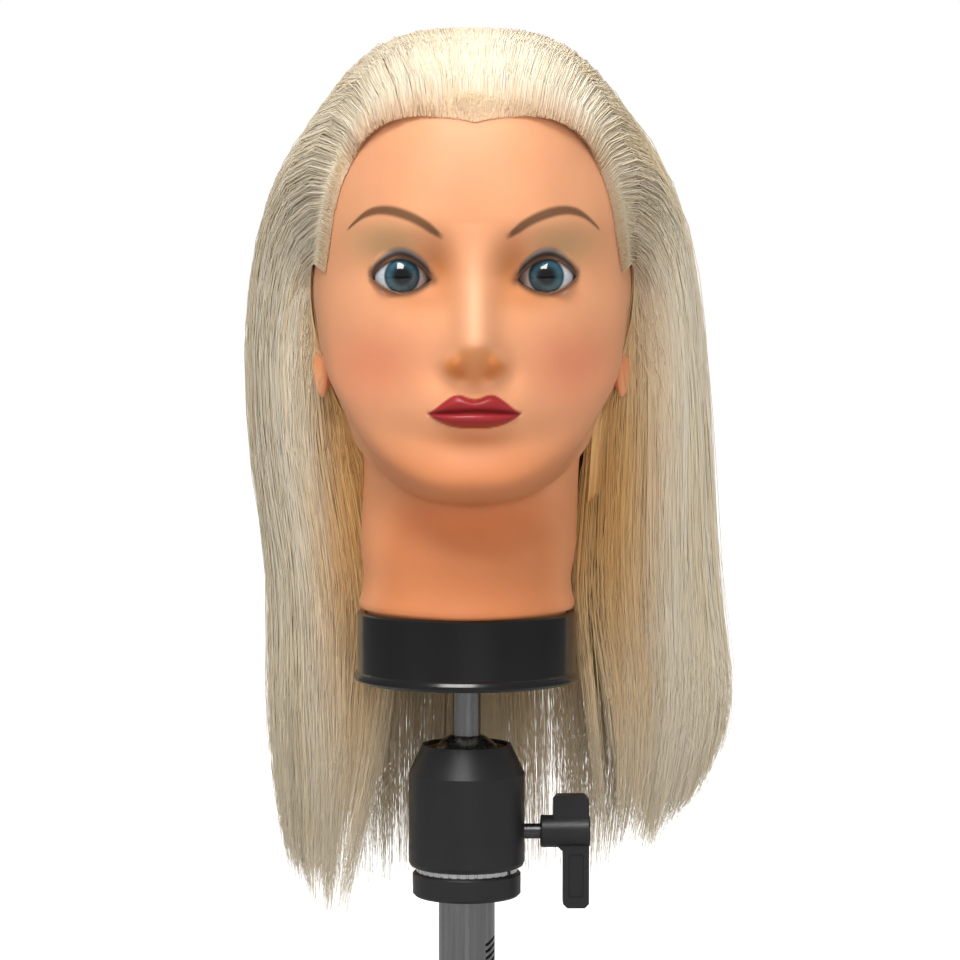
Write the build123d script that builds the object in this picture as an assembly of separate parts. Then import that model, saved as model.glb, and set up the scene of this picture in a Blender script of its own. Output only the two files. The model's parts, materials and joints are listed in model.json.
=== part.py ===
from build123d import *
import os
from math import cos, pi, radians, sin, sqrt

# Mannequin training head on a ball-head holder. Millimetres, +Z up.
# The origin is the bottom of the column on its axis. The face looks along -Y and the clamp knob is on +X.

# ---- fits ----
turn_fit = 0.05          # radial clearance of pieces that turn or slide in each other
set_fit = 0.02           # radial clearance of pieces that are fixed in each other
face_gap = 0.05          # axial clearance between working faces
pan_gap = 0.1            # lift of the ball head over its thrust washer
over = 1.0               # how far a cut runs past the face it opens

# ---- column ----
column_d = 26.0
column_wall = 3.0
column_h = 127.3
seat_d = 25.0            # turned down at the top for the platform
seat_gap = 0.2
end_cap_h = 8.0
end_cap_t = 2.5
end_cap_hole_d = 6.0
rack_module = 1.0
rack_depth = 1.6
rack_w = 9.0
rack_z0 = 19.4
rack_z1 = 104.0
rack_slant = 20.0        # degrees
rack_turn = -30.0        # degrees from +X, to the front right
socket_depth = 7.3
web_t = 4.0
platform_d = 50.0
platform_edge = 1.2
set_screw_d = 4.0
set_screw_l = 6.5
set_screw_n = 2
small_key_r = 1.15       # hex sockets of the small screws
small_key_l = 2.1
stud_d = 10.0
stud_flange_t = 3.0
stud_flange_gap = 0.5
stud_key_r = 3.4
stud_top_gap = 0.4
washer_d = 47.0
washer_t = 2.0
washer_notch_n = 36
washer_notch = 0.7
circlip_t = 1.2
circlip_w = 3.0
circlip_bite = 0.8
circlip_gap = 0.7        # half its opening, as a share of its inner radius

# ---- ball head ----
ball_d = 36.0
housing_d = ball_d + 17.6
housing_edge = 2.5
rim_d = ball_d + 5.0
rim_rise = 0.339 * ball_d        # rim over the ball's centre
shoulder_drop = 1.2              # foot of the cone under the ball's centre
bore_d = ball_d + 4.0
bore_rise = 0.208 * ball_d       # where the bore starts to close over the ball's centre
mouth_d = ball_d + 1.8
mouth_rise = 0.292 * ball_d
floor_d = ball_d + 8.0
floor_t = 4.0
floor_screw_d = 3.0
floor_screw_n = 3
stud_room_d = 22.0
stud_room_h = 3.5
slot_web = 3.1
slot_w = 14.0
slot_half = housing_d / 2 - 9.8
wedge_h = 8.65
wedge_x1 = slot_half - 3.0
wedge_top_x = 1.75               # where the 45 degree slope meets the wedge's top
screw_rise = 5.5                 # screw axis over the slot's floor
lifter_t = 3.0
lifter_foot = 8.5
lifter_foot_x0 = 2.0 - slot_half
lifter_travel = 1.25             # drop of the lifter for one turn of the clamp screw
lifter_room = 0.2                # left under the lifter at the end of its travel
cup_d = ball_d + 2.8
cup_floor = 2.9
cup_h = ball_d / 2 - 5.0
cup_drain_d = 8.0
seat_drop = ball_d / 9           # foot of the upper seat under the ball's centre
seat_rise = ball_d / 6           # where the seat's ball face ends over the ball's centre
seat_lip = 0.5

# ---- clamp screw and knob ----
screw_d = 7.0
nose_d = 5.0
nose_l = 3.0
nose_gap = 0.2
bush_d = 12.0
bush_l = 7.0
hub_d = 15.0
hub_x0 = housing_d / 2 + 7.2
hub_l = 23.0
insert_d = 10.0
insert_l = 16.0
insert_start = 2.0
wing_t = 8.0
wing_x0 = hub_x0 + 10.4
wing_x1 = wing_x0 + 12.1
wing_up = 17.0
wing_down = 35.5
wing_root_x0 = hub_x0 + 6.0
wing_root = 5.0
wing_neck = 9.0
wing_corner = 2.0
wing_edge = 1.0
hub_edge = 1.0
panel_depth = 1.0
panel_margin = 2.5
panel_corner = 1.5

# ---- support pin and sleeve ----
pin_d = 13.0
pin_rise = 65.0           # top of the pin over the collar's foot
pin_edge = 1.0
pin_spigot_d = pin_d - 3.0
pin_foot_edge = 0.9       # left round the pin on the ball's flat
pin_spigot_l = 12.0
sleeve_wall = 2.45
sleeve_rise = 2.0
sleeve_cap = 2.95
socket_wall = 2.95
socket_cap = 3.0
socket_flange_d = 32.0
socket_flange_t = 2.0

# ---- neck collar and base ----
neck_d = 98.0
collar_rise = 42.0        # foot of the collar over the ball's centre
collar_h = 32.0
collar_rim_d = neck_d + 6.0
collar_rim_t = 4.0
collar_rim_edge = 1.3
collar_edge = 0.8
collar_d = neck_d + 2.7
collar_bore_d = neck_d - 4.0
collar_lip_bore_d = collar_bore_d - 6.0
base_plate_t = 4.0
base_screw_d = 3.5
base_screw_head_d = 7.0
base_screw_head_t = 2.0
base_screw_l = 16.0
base_screw_pcd = 60.0
base_screw_n = 4
cross_recess = (4.0, 0.8, 1.6)

# ---- head ----
skin_t = 4.0
chin_rise = 86.0          # chin over the collar's foot
head_h = 205.0            # chin to crown
face_w = 144.0            # widest, over the temples
skull_depth = 188.0
eye_rise = 0.4878 * head_h
eye_gap = 0.434 * face_w  # between the pupils
eye_d = 25.0
eye_y = -0.3324 * skull_depth
eye_room = 0.5
eye_open_w = 30.0
eye_open_h = 15.0
ear_x = face_w / 2 - 3.0
ear_y = 10.0
ear_rise = 0.3366 * head_h
ear_half = (6.5, 13.0, 25.0)
ear_tilt = -10.0
lip_rise = 0.185 * head_h
lip_y = -0.427 * skull_depth
upper_lip_half = (21.0, 8.5, 4.5)
lower_lip_half = (17.5, 9.5, 5.5)
lip_overlap = 0.5
chin_half = (19.0, 15.0, 12.5)
chin_sink = 0.5
chin_y = -0.385 * skull_depth
neck_lean = 10.0

# ---- hair ----
hair_over = 9.0           # over the crown
hair_split = 0.595        # over the chin, as a share of the head's height
hair_split_y = 52.0
cut_reach = 300.0         # further than any piece of the head or hair


def rod_z(r, z0, z1, x=0.0, y=0.0):
    """A rod along Z."""
    return Pos(x, y, z0) * Cylinder(r, z1 - z0, align=(Align.CENTER, Align.CENTER, Align.MIN))


def rod_x(r, x0, x1, z):
    """A rod along X at height z."""
    seat = (Align.CENTER, Align.CENTER, Align.MIN)
    return Pos(x0, 0, z) * Rot(0, 90, 0) * Cylinder(r, x1 - x0, align=seat)


def turned(*points):
    """A solid turned about Z from an outline of (radius, z) points."""
    return revolve(Plane.XZ * Polygon(*points, align=None), Axis.Z)


def slab(points, thickness):
    """An outline of (x, z) points made thick along Y, centred on the XZ plane."""
    return extrude(Plane.XZ * Polygon(*points, align=None), amount=thickness / 2, both=True)


def box_of(low, high):
    """A box between two corners."""
    size = [b - a for a, b in zip(low, high)]
    return Pos(*low) * Box(*size, align=(Align.MIN, Align.MIN, Align.MIN))


def around(count, radius, start=0.0):
    """Evenly spaced places on a circle, as (x, y, angle in degrees)."""
    turns = [start + 360 * i / count for i in range(count)]
    return [(radius * cos(radians(t)), radius * sin(radians(t)), t) for t in turns]


def ring(z, cx, cy, a, b, count=16):
    """A smooth closed oval face at height z with half width a and half depth b."""
    steps = [2 * pi * i / count for i in range(count)]
    points = [(cx + a * cos(t), cy + b * sin(t), z) for t in steps]
    return make_face(Spline(*points, periodic=True))


def oval_loft(sections):
    return loft([ring(*s) for s in sections])


def ellipsoid(centre, half, tilt=0.0):
    """An ellipsoid with three half sizes, tilted about X."""
    return Pos(*centre) * Rot(tilt, 0, 0) * scale(Sphere(1.0), by=half)


# ---- heights that follow from the sizes above ----
platform_z0 = column_h - socket_depth
platform_z1 = column_h + web_t
washer_z1 = platform_z1 + washer_t
housing_z0 = washer_z1 + pan_gap
floor_z1 = housing_z0 + floor_t
stud_room_z1 = floor_z1 + stud_room_h
slot_z = stud_room_z1 + slot_web
screw_z = slot_z + screw_rise
floor_screw_z1 = slot_z - over
wedge_z0 = slot_z + face_gap
wedge_z1 = wedge_z0 + wedge_h
lifter_z0 = wedge_z1 + face_gap + lifter_travel
lifter_z1 = lifter_z0 + lifter_t
cup_z0 = lifter_z1 + face_gap
ball_z = cup_z0 + cup_floor + ball_d / 2 + turn_fit
shoulder_z = ball_z - shoulder_drop
rim_z = ball_z + rim_rise
ball_flat = sqrt((ball_d / 2) ** 2 - (pin_d / 2 + pin_foot_edge) ** 2)
collar_z0 = ball_z + collar_rise
pin_top = collar_z0 + pin_rise
sleeve_z0 = collar_z0 + sleeve_rise
plate_z0 = collar_z0 + collar_rim_t
plate_z1 = plate_z0 + base_plate_t
neck_z = collar_z0 + collar_h
sleeve_r = pin_d / 2 + turn_fit + sleeve_wall
sleeve_z1 = pin_top + face_gap + sleeve_cap
socket_r = sleeve_r + turn_fit + socket_wall
socket_z1 = sleeve_z1 + face_gap + socket_cap
chin_z = collar_z0 + chin_rise
crown_z = chin_z + head_h
eye_z = chin_z + eye_rise
ear_z = chin_z + ear_rise
hair_top = crown_z + hair_over
hair_split_z = chin_z + hair_split * head_h


# ---- column ----
def rack_cutters():
    """Slanted slots that leave the rack's teeth standing in the tube's wall."""
    pitch = pi * rack_module
    r = column_d / 2
    count = int((rack_z1 - rack_z0) / pitch)
    tooth = [(r - rack_depth, -pitch / 8), (r + over, -pitch / 3),
             (r + over, pitch / 3), (r - rack_depth, pitch / 8)]
    slot = Pos(r, 0, 0) * Rot(rack_slant, 0, 0) * Pos(-r, 0, 0) * slab(tooth, rack_w)
    return [Rot(0, 0, rack_turn) * Pos(0, 0, rack_z0 + pitch * (i + 0.5)) * slot for i in range(count)]


def column_tube():
    tube = rod_z(column_d / 2, 0, platform_z0 - seat_gap) + rod_z(seat_d / 2, 0, column_h)
    tube -= rod_z(column_d / 2 - column_wall, -over, column_h + over)
    return tube - rack_cutters()


def column_end_cap():
    r = column_d / 2 - column_wall - set_fit
    cap = rod_z(r, 0, end_cap_h) - rod_z(r - end_cap_t, end_cap_t, end_cap_h + over)
    return cap - rod_z(end_cap_hole_d / 2, -over, end_cap_t + over)


def set_screw_places():
    z = platform_z0 + socket_depth / 2
    return [Rot(0, 0, 360 * i / set_screw_n) * Pos(seat_d / 2, 0, z) for i in range(set_screw_n)]


def across_x(r, length):
    return Rot(0, 90, 0) * Cylinder(r, length, align=(Align.CENTER, Align.CENTER, Align.MIN))


def column_platform():
    r = platform_d / 2
    e = platform_edge
    body = turned((0, platform_z0), (r - e, platform_z0), (r, platform_z0 + e), (r, platform_z1 - e),
                  (r - e, platform_z1), (0, platform_z1))
    body -= rod_z(seat_d / 2 + set_fit, platform_z0 - over, column_h)
    body -= rod_z(stud_d / 2 + set_fit, column_h - over, platform_z1 + over)
    hole = across_x(set_screw_d / 2, platform_d)
    return body - [place * hole for place in set_screw_places()]


def platform_set_screws():
    """Grub screws that lock the platform on the column."""
    screw = across_x(set_screw_d / 2 - set_fit, set_screw_l)
    key = extrude(RegularPolygon(small_key_r, 6), amount=small_key_l)
    screw -= Pos(set_screw_l, 0, 0) * Rot(0, -90, 0) * key
    return Compound(children=[place * screw for place in set_screw_places()])


def platform_stud():
    """Shoulder stud that the ball head pans on, with a groove for its circlip."""
    groove_z = floor_z1 + pan_gap
    stud = rod_z(stud_d / 2, column_h - stud_flange_t, stud_room_z1 - stud_top_gap)
    stud += rod_z(column_d / 2 - column_wall - stud_flange_gap, column_h - stud_flange_t, column_h)
    groove = rod_z(stud_d, groove_z, groove_z + circlip_t)
    groove -= rod_z(stud_d / 2 - circlip_bite, groove_z - over, groove_z + circlip_t + over)
    key = extrude(RegularPolygon(stud_key_r, 6), amount=stud_flange_t + over)
    key = Pos(0, 0, column_h - stud_flange_t - over) * key
    return stud - groove - key


def stud_circlip():
    z = floor_z1 + pan_gap
    r = stud_d / 2 - circlip_bite
    clip = rod_z(r + circlip_w, z, z + circlip_t) - rod_z(r + set_fit, z - over, z + circlip_t + over)
    half = circlip_gap * r
    gap = box_of((0, -half, z - over), (r + circlip_w + over, half, z + circlip_t + over))
    return clip - gap


def thrust_washer():
    """Bright ring between platform and ball head, notched round its edge."""
    washer = rod_z(washer_d / 2, platform_z1, washer_z1)
    washer -= rod_z(stud_d / 2 + set_fit, platform_z1 - over, washer_z1 + over)
    places = around(washer_notch_n, washer_d / 2)
    return washer - [rod_z(washer_notch, platform_z1 - over, washer_z1 + over, x, y) for x, y, _ in places]


# ---- ball head ----
def floor_screw_places():
    r = (floor_d + stud_room_d) / 4
    return around(floor_screw_n, r, 30)


def housing_outline():
    r = housing_d / 2
    e = housing_edge
    return [(0, housing_z0), (r - e, housing_z0), (r - 0.3 * e, housing_z0 + 0.3 * e), (r, housing_z0 + e),
            (r, shoulder_z), (rim_d / 2, rim_z), (0, rim_z)]


def mouth_points():
    """Where the housing's bore closes to its mouth over the upper seat."""
    return (bore_d / 2, ball_z + bore_rise), (mouth_d / 2, ball_z + mouth_rise)


def ball_housing():
    low, high = mouth_points()
    slot_top = lifter_z0 - lifter_travel - lifter_room
    side = slot_w / 2 + turn_fit
    body = turned(*housing_outline())
    body -= rod_z(floor_d / 2, housing_z0 - over, floor_z1)
    body -= rod_z(stud_room_d / 2, floor_z1 - over, stud_room_z1)
    body -= box_of((-slot_half, -side, slot_z), (slot_half, side, slot_top + over))
    end_z = rim_z + over
    body -= turned((0, slot_top), (bore_d / 2, slot_top), low, high, (mouth_d / 2, end_z), (0, end_z))
    body -= rod_x(bush_d / 2, housing_d / 2 - bush_l, housing_d, screw_z)
    body -= rod_x(screw_d / 2 + 4 * turn_fit, slot_half - over, housing_d / 2, screw_z)
    for x, y, _ in floor_screw_places():
        body -= rod_z(floor_screw_d / 2, floor_z1 - over, floor_screw_z1, x, y)
    return body


def upper_seat():
    """Bronze ring that the ball is pressed up into, flared in the mouth."""
    low, high = mouth_points()
    ball_r = ball_d / 2 + turn_fit
    seat_r = sqrt(ball_r ** 2 - seat_rise ** 2)
    outer = turned((0, ball_z - seat_drop), (bore_d / 2, ball_z - seat_drop), low, high, (0, high[1]))
    flare_z = ball_z + seat_rise
    flare = turned((0, flare_z), (seat_r, flare_z), (mouth_d / 2 - seat_lip, high[1]), (0, high[1]))
    return outer - Pos(0, 0, ball_z) * Sphere(ball_r) - flare


def housing_floor():
    floor = rod_z(floor_d / 2 - set_fit, housing_z0, floor_z1)
    floor -= rod_z(stud_d / 2 + turn_fit, housing_z0 - over, floor_z1 + over)
    return floor - [floor_screw(x, y, 0) for x, y, _ in floor_screw_places()]


def floor_screw(x, y, slack):
    """A countersunk screw, or its hole without slack."""
    r = floor_screw_d / 2 - slack
    low = housing_z0 + slack
    outline = [(0, low), (2 * r, low), (r, low + r), (r, floor_screw_z1), (0, floor_screw_z1)]
    return Pos(x, y, 0) * turned(*outline)


def floor_screws():
    key = Pos(0, 0, housing_z0) * extrude(RegularPolygon(small_key_r, 6), amount=small_key_l)
    places = floor_screw_places()
    return Compound(children=[floor_screw(x, y, set_fit) - Pos(x, y, 0) * key for x, y, _ in places])


def screw_bush():
    """Threaded brass bush in the housing's wall."""
    x0 = housing_d / 2 - bush_l
    bush = rod_x(bush_d / 2, x0, housing_d, screw_z) & rod_z(housing_d / 2, housing_z0, ball_z)
    return bush - rod_x(screw_d / 2 + turn_fit, x0 - over, housing_d, screw_z)


def wedge_foot_x():
    """Where the wedge's 45 degree slope meets its underside."""
    return wedge_top_x - wedge_h


def clamp_wedge():
    pocket = rod_x(nose_d / 2 + turn_fit, wedge_x1 - nose_l, wedge_x1 + over, screw_z)
    foot = (wedge_foot_x(), wedge_z0)
    outline = [foot, (wedge_x1, wedge_z0), (wedge_x1, wedge_z1), (wedge_top_x, wedge_z1)]
    return slab(outline, slot_w) - pocket


def cup_lifter():
    """Disc under the lower cup, with a sloped foot that rides on the wedge and a groove over the screw."""
    foot_z = lifter_z0 - lifter_foot
    slope_x = wedge_top_x + (lifter_z0 - wedge_z1) - 2 * face_gap
    outline = [(lifter_foot_x0, foot_z), (slope_x - lifter_foot, foot_z), (slope_x, lifter_z0),
               (slope_x, lifter_z0 + over), (lifter_foot_x0, lifter_z0 + over)]
    lifter = rod_z(cup_d / 2, lifter_z0, lifter_z1) + slab(outline, slot_w)
    groove_z = screw_z + lifter_travel
    return lifter - rod_x(screw_d / 2 + lifter_room, wedge_x1 - over, cup_d, groove_z)


def lower_cup():
    cup = rod_z(cup_d / 2, cup_z0, cup_z0 + cup_h)
    cup -= Pos(0, 0, ball_z) * Sphere(ball_d / 2 + turn_fit)
    return cup - rod_z(cup_drain_d / 2, cup_z0 - over, ball_z)


# ---- clamp screw and knob ----
def clamp_screw():
    end_x = hub_x0 + insert_start + insert_l
    shank = rod_x(screw_d / 2, wedge_x1 + face_gap, end_x, screw_z)
    return shank + rod_x(nose_d / 2, wedge_x1 - nose_l + nose_gap, wedge_x1 + over, screw_z)


def insert_solid():
    x0 = hub_x0 + insert_start
    return Pos(x0, 0, screw_z) * Rot(0, 90, 0) * extrude(RegularPolygon(insert_d / 2, 8), amount=insert_l)


def knob_insert():
    end_x = hub_x0 + insert_start + insert_l + over
    return insert_solid() - rod_x(screw_d / 2 + set_fit, hub_x0, end_x, screw_z)


def clamp_knob():
    """Wing knob: a short wing above the hub and a long one below, with a sunk panel on each face."""
    top = screw_z + wing_up
    bottom = screw_z - wing_down
    c = wing_corner
    outline = [(wing_root_x0, screw_z - wing_root), (wing_root_x0, top - c), (wing_root_x0 + c, top),
               (wing_x1 - c, top), (wing_x1, top - c), (wing_x1, bottom + c), (wing_x1 - c, bottom),
               (wing_x0 + c, bottom), (wing_x0, bottom + c), (wing_x0, screw_z - wing_neck)]
    wing = slab(outline, wing_t)
    wing = fillet(wing.edges().filter_by(Axis.Y), wing_edge)
    hub = rod_x(hub_d / 2, hub_x0, hub_x0 + hub_l, screw_z)
    hub = fillet(hub.edges(), hub_edge)
    knob = wing + hub
    low = (wing_x0 + panel_margin, wing_t / 2 - panel_depth, bottom + 2 * panel_margin)
    high = (wing_x1 - panel_margin, wing_t / 2 + over, screw_z - hub_d / 2 - panel_margin)
    panel = box_of(low, high)
    panel = fillet(panel.edges().filter_by(Axis.Y), panel_corner)
    knob -= panel
    knob -= mirror(panel, about=Plane.XZ)
    knob -= insert_solid()
    return knob - rod_x(screw_d / 2 + set_fit, hub_x0 - over, hub_x0 + insert_start + over, screw_z)


# ---- ball and pin ----
def ball():
    body = Pos(0, 0, ball_z) * Sphere(ball_d / 2)
    body -= rod_z(ball_d, ball_z + ball_flat, ball_z + ball_d)
    return body - rod_z(pin_spigot_d / 2 + set_fit, ball_z + ball_flat - pin_spigot_l, ball_z + ball_d)


def support_pin():
    foot = ball_z + ball_flat
    pin = rod_z(pin_d / 2, foot, pin_top)
    pin = chamfer(pin.edges().sort_by(Axis.Z)[-1], pin_edge)
    return pin + rod_z(pin_spigot_d / 2, foot - pin_spigot_l, foot)


def pin_sleeve():
    bore = rod_z(pin_d / 2 + turn_fit, sleeve_z0 - over, pin_top + face_gap)
    return rod_z(sleeve_r, sleeve_z0, sleeve_z1) - bore


# ---- neck ----
def pin_socket():
    tube = rod_z(socket_r, plate_z0, socket_z1)
    tube += rod_z(socket_flange_d / 2, plate_z0 - socket_flange_t, plate_z0)
    return tube - rod_z(sleeve_r + turn_fit, plate_z0 - socket_flange_t - over, sleeve_z1 + face_gap)


def neck_collar():
    """Collar with a rounded rim at its foot and a lip inside that carries the base plate."""
    r = collar_rim_d / 2
    e = collar_rim_edge
    c = collar_edge
    rim_z1 = collar_z0 + collar_rim_t
    body = turned((collar_lip_bore_d / 2, collar_z0), (r - e, collar_z0), (r, collar_z0 + e), (r, rim_z1 - e),
                  (r - c, rim_z1), (collar_d / 2, rim_z1 + c), (collar_d / 2, neck_z - c),
                  (collar_d / 2 - c, neck_z), (collar_lip_bore_d / 2, neck_z))
    return body - rod_z(collar_bore_d / 2, plate_z0, neck_z + over)


def base_screw_places():
    return around(base_screw_n, base_screw_pcd / 2, 45)


def neck_base_plate():
    plate = rod_z(collar_bore_d / 2 - set_fit, plate_z0, plate_z1)
    plate -= rod_z(socket_r + set_fit, plate_z0 - over, plate_z1 + over)
    r = base_screw_d / 2 + set_fit
    return plate - [rod_z(r, plate_z0 - over, plate_z1 + over, x, y) for x, y, _ in base_screw_places()]


def base_plate_screws():
    """Screws up through the base plate into the core, with a cross recess."""
    screws = []
    for x, y, _ in base_screw_places():
        head_z = plate_z0 - base_screw_head_t
        screw = rod_z(base_screw_d / 2, plate_z0, plate_z0 + base_screw_l, x, y)
        screw += rod_z(base_screw_head_d / 2, head_z, plate_z0, x, y)
        for turn in (0, 90):
            screw -= Pos(x, y, head_z) * Rot(0, 0, turn) * Box(*cross_recess)
        screws.append(screw)
    return Compound(children=screws)


# ---- head ----
# Height from chin to crown, then centre y, half width and half depth, as shares of the head's own sizes.
head_shape = [
    (0.000, -0.330, 0.130, 0.080), (0.030, -0.270, 0.250, 0.150), (0.088, -0.160, 0.360, 0.280),
    (0.175, -0.060, 0.430, 0.395), (0.270, 0.000, 0.465, 0.455), (0.390, 0.030, 0.487, 0.480),
    (0.490, 0.042, 0.500, 0.488), (0.640, 0.042, 0.500, 0.500), (0.780, 0.045, 0.474, 0.462),
    (0.890, 0.050, 0.392, 0.372), (0.960, 0.054, 0.262, 0.246), (0.992, 0.054, 0.120, 0.112),
]


def head_sections(inset):
    """The head's ovals from chin to crown, drawn in by an inset."""
    middle = 0.5
    rows = []
    for up, y, wide, deep in head_shape:
        z = chin_z + up * head_h - inset * (up - middle) / middle
        rows.append((z, 0, y * skull_depth, wide * face_w - inset, deep * skull_depth - inset))
    return rows


def neck(r, plug_r, z0):
    """The neck, leaning back a little into the head, on the part that stands in the collar."""
    lean = neck_lean
    top = chin_z + 0.3 * head_h
    column = oval_loft([(neck_z, 0, 0, r, r), ((neck_z + chin_z) / 2, 0, 0.3 * lean, r, r),
                        (chin_z, 0, lean, r + 2, r + 2), (top, 0, 1.6 * lean, r + 4, r + 6)])
    return column + rod_z(plug_r, z0, neck_z + skin_t)


def head_outer():
    return oval_loft(head_sections(0)) + neck(neck_d / 2, collar_bore_d / 2 - set_fit, plate_z1)


def head_inner():
    """The space inside the skin, which the core fills."""
    plug_r = collar_bore_d / 2 - skin_t
    return oval_loft(head_sections(skin_t)) + neck(neck_d / 2 - skin_t, plug_r, plate_z1)


def nose():
    shape = [(-0.158, -0.440, 11.0, 9.0), (-0.125, -0.478, 15.5, 16.0), (-0.105, -0.484, 14.5, 16.0),
             (-0.05, -0.465, 8.5, 13.0), (0.03, -0.440, 6.5, 10.0), (0.10, -0.432, 6.0, 7.0)]
    return oval_loft([(eye_z + up * head_h, 0, y * skull_depth, a, b) for up, y, a, b in shape])


def lips():
    z = chin_z + lip_rise
    upper = ellipsoid((0, lip_y, z + upper_lip_half[2] - lip_overlap), upper_lip_half)
    return upper + ellipsoid((0, lip_y, z - lower_lip_half[2] + 4 * lip_overlap), lower_lip_half)


def chin():
    return ellipsoid((0, chin_y, chin_z + chin_half[2] - chin_sink), chin_half)


def ears():
    both = []
    for side in (-1, 1):
        both.append(ellipsoid((side * ear_x, ear_y, ear_z), ear_half, ear_tilt))
    return both


def eye_centres():
    return [(side * eye_gap / 2, eye_y, eye_z) for side in (1, -1)]


def eye_balls():
    return [Pos(*c) * Sphere(eye_d / 2) for c in eye_centres()]


def eye_pockets():
    """Round pockets in the core, open to the front, that the eyes sit in."""
    barrel = Cylinder(eye_d / 2 + eye_room, 3 * eye_d, align=(Align.CENTER, Align.CENTER, Align.MIN))
    barrel = Rot(90, 0, 0) * barrel
    return [Pos(x, y + eye_d / 2, z) * barrel for x, y, z in eye_centres()]


def eye_openings():
    shape = Plane.XZ * Ellipse(eye_open_w / 2, eye_open_h / 2)
    return [Pos(*c) * extrude(shape, amount=2 * eye_d) for c in eye_centres()]


def head_skin(outer, inner):
    skin = outer
    for added in [nose(), lips(), chin(), *ears()]:
        skin += added
    for taken in [inner, *eye_balls(), *eye_openings()]:
        skin -= taken
    return skin


def foam_core(inner):
    screw_z1 = plate_z0 + base_screw_l
    r = base_screw_d / 2 + set_fit
    holes = [rod_z(r, plate_z1 - over, screw_z1, x, y) for x, y, _ in base_screw_places()]
    core = inner
    for taken in [*eye_pockets(), rod_z(socket_r + set_fit, plate_z1 - over, socket_z1), *holes]:
        core -= taken
    return core


def eye(side):
    """A one-piece eye."""
    return eye_balls()[side]


# ---- hair ----
# The whole mass of hair from its tips to its top: height over the chin as a share of the head's height,
# centre x and half width as shares of the face's width, centre y and half depth of the skull's depth.
hair_shape = [
    (-0.946, -0.028, 0.245, 0.431, 0.181), (-0.844, -0.014, 0.213, 0.549, 0.245),
    (-0.678, 0.090, 0.138, 0.674, 0.351), (-0.434, 0.132, 0.106, 0.729, 0.426),
    (-0.259, 0.125, 0.090, 0.729, 0.468), (0.015, 0.069, 0.080, 0.736, 0.516),
    (0.171, 0.042, 0.074, 0.750, 0.537), (0.434, 0.028, 0.069, 0.736, 0.548),
    (0.673, 0.028, 0.064, 0.674, 0.543), (0.844, 0.042, 0.064, 0.556, 0.500),
    (0.946, 0.042, 0.069, 0.417, 0.394), (1.010, 0.035, 0.069, 0.250, 0.245),
]
hair_crest = (0.035, 0.069, 0.083, 0.085)
# Room round the neck and the holder: height over the collar's foot, centre y, half width and half depth.
hair_room = [
    (-140, 0, collar_rim_d / 2 + 26, collar_rim_d / 2 + 8),
    (-20, 0, collar_rim_d / 2 + 24, collar_rim_d / 2 + 6),
    (42, 0, neck_d / 2 + 19, neck_d / 2 + 8), (80, 4, neck_d / 2 + 9, neck_d / 2 + 9),
    (110, 6, neck_d / 2 + 3, neck_d / 2 + 11),
]
# The hairline seen from the side, as (y, z) shares of the head; hair stays behind and above it.
hairline = [
    (-0.745, 0.820), (-0.447, 0.820), (-0.372, 0.727), (-0.245, 0.595), (-0.117, 0.517),
    (0.032, 0.468), (0.074, 0.361), (0.064, 0.117), (0.032, -0.127), (0.064, -0.517),
    (0.117, -0.810), (0.181, -1.054), (-0.745, -1.054),
]


def hair_mass(head_pieces):
    """The hair, outside the head, clear of the neck and the holder, and behind the hairline."""
    outline = [(y * skull_depth, chin_z + up * head_h) for y, up in hairline]
    front = extrude(Plane.YZ * Polygon(*outline, align=None), amount=cut_reach, both=True)
    rows = [(chin_z + up * head_h, x, y, a, b) for up, x, y, a, b in hair_shape] + [(hair_top, *hair_crest)]
    scale = (1, face_w, skull_depth, face_w, skull_depth)
    mass = oval_loft([tuple(v * k for v, k in zip(row, scale)) for row in rows])
    room = oval_loft([(collar_z0 + up, 0, y, a, b) for up, y, a, b in hair_room])
    for taken in [room, *head_pieces, front]:
        mass -= taken
    return largest(mass)


def largest(shape):
    """The biggest solid of a shape, without crumbs that a cut left."""
    return max(shape.solids(), key=lambda s: s.volume)


def hair_part(mass, low, high):
    return largest(mass & box_of(low, high))


def write(name, shape):
    export_step(shape, f"parts/{name}.step")


def main():
    os.makedirs("parts", exist_ok=True)
    outer = head_outer()
    inner = head_inner()
    skin = head_skin(outer, inner)
    hair = hair_mass([outer, *ears()])
    far = cut_reach
    cut = hair_split_z
    split = hair_split_y
    pieces = {
        "column_tube": column_tube(),
        "column_end_cap": column_end_cap(),
        "column_platform": column_platform(),
        "platform_set_screws": platform_set_screws(),
        "platform_stud": platform_stud(),
        "stud_circlip": stud_circlip(),
        "thrust_washer": thrust_washer(),
        "ball_housing": ball_housing(),
        "upper_seat": upper_seat(),
        "housing_floor": housing_floor(),
        "floor_screws": floor_screws(),
        "screw_bush": screw_bush(),
        "lower_cup": lower_cup(),
        "cup_lifter": cup_lifter(),
        "clamp_wedge": clamp_wedge(),
        "clamp_screw": clamp_screw(),
        "clamp_knob": clamp_knob(),
        "knob_insert": knob_insert(),
        "ball": ball(),
        "support_pin": support_pin(),
        "pin_sleeve": pin_sleeve(),
        "pin_socket": pin_socket(),
        "neck_collar": neck_collar(),
        "neck_base_plate": neck_base_plate(),
        "base_plate_screws": base_plate_screws(),
        "head_skin": largest(skin),
        "foam_core": foam_core(inner),
        "left_eye": eye(0),
        "right_eye": eye(1),
        "hair_crown": hair_part(hair, (-far, -far, cut), (far, far, cut + far)),
        "hair_back": hair_part(hair, (-far, split, 0), (far, far, cut)),
        "hair_left": hair_part(hair, (0, -far, 0), (far, split, cut)),
        "hair_right": hair_part(hair, (-far, -far, 0), (0, split, cut)),
    }
    for name, shape in pieces.items():
        write(name, shape)


if __name__ == "__main__":
    main()
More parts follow.
